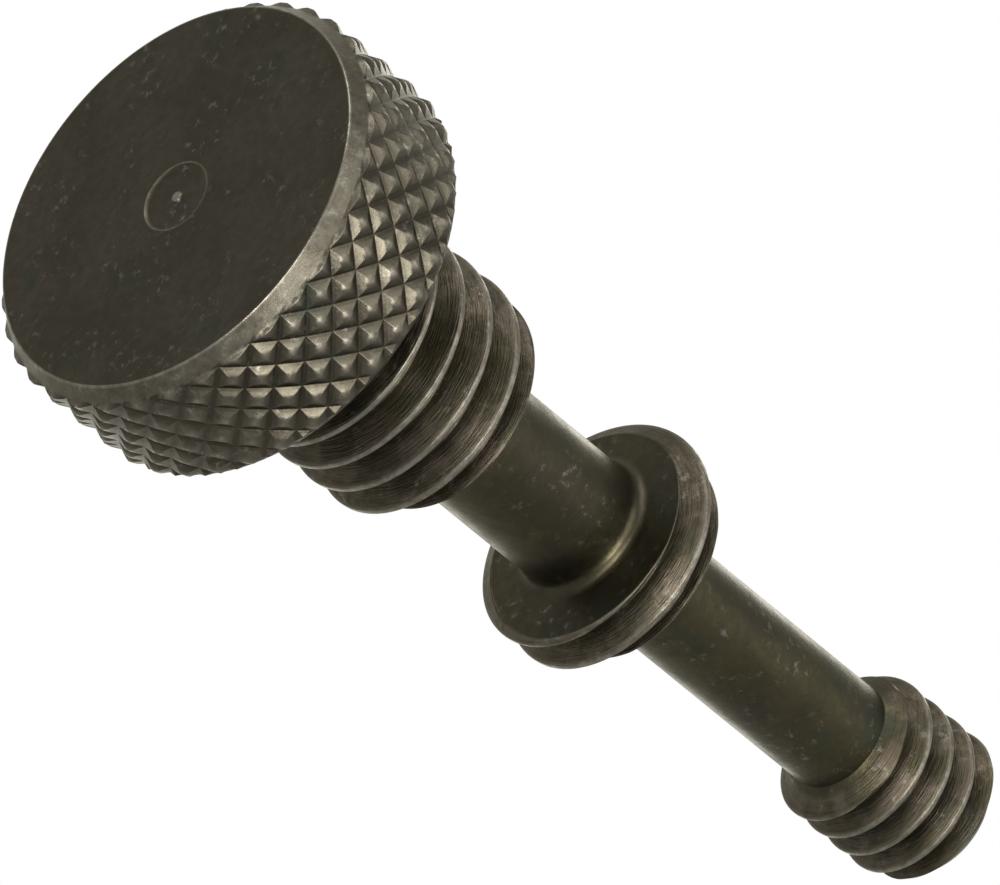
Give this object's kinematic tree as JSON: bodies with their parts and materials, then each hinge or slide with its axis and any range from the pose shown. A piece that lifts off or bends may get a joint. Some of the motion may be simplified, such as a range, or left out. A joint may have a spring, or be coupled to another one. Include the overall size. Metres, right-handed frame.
{
  "type": "captive thumb screw",
  "caption": "Turned steel captive thumb screw: diamond-knurled disc head, coarse body thread, plain shank, threaded retaining collar, slim neck and threaded tip.",
  "frame": {"origin": "centre of the head's flat outer face, which the screw stands on", "axes": "+Z along the screw's axis from the head to the tip; -Y is the side that faces the camera in the picture"},
  "size_m": [0.0166, 0.0166, 0.0444],
  "materials": {
    "steel": "black-brown oxide or phosphate finish on turned steel, worn bright on thread crests and edges"
  },
  "bodies": {
    "root": {"screw": "steel"}
  },
  "joints": []
}
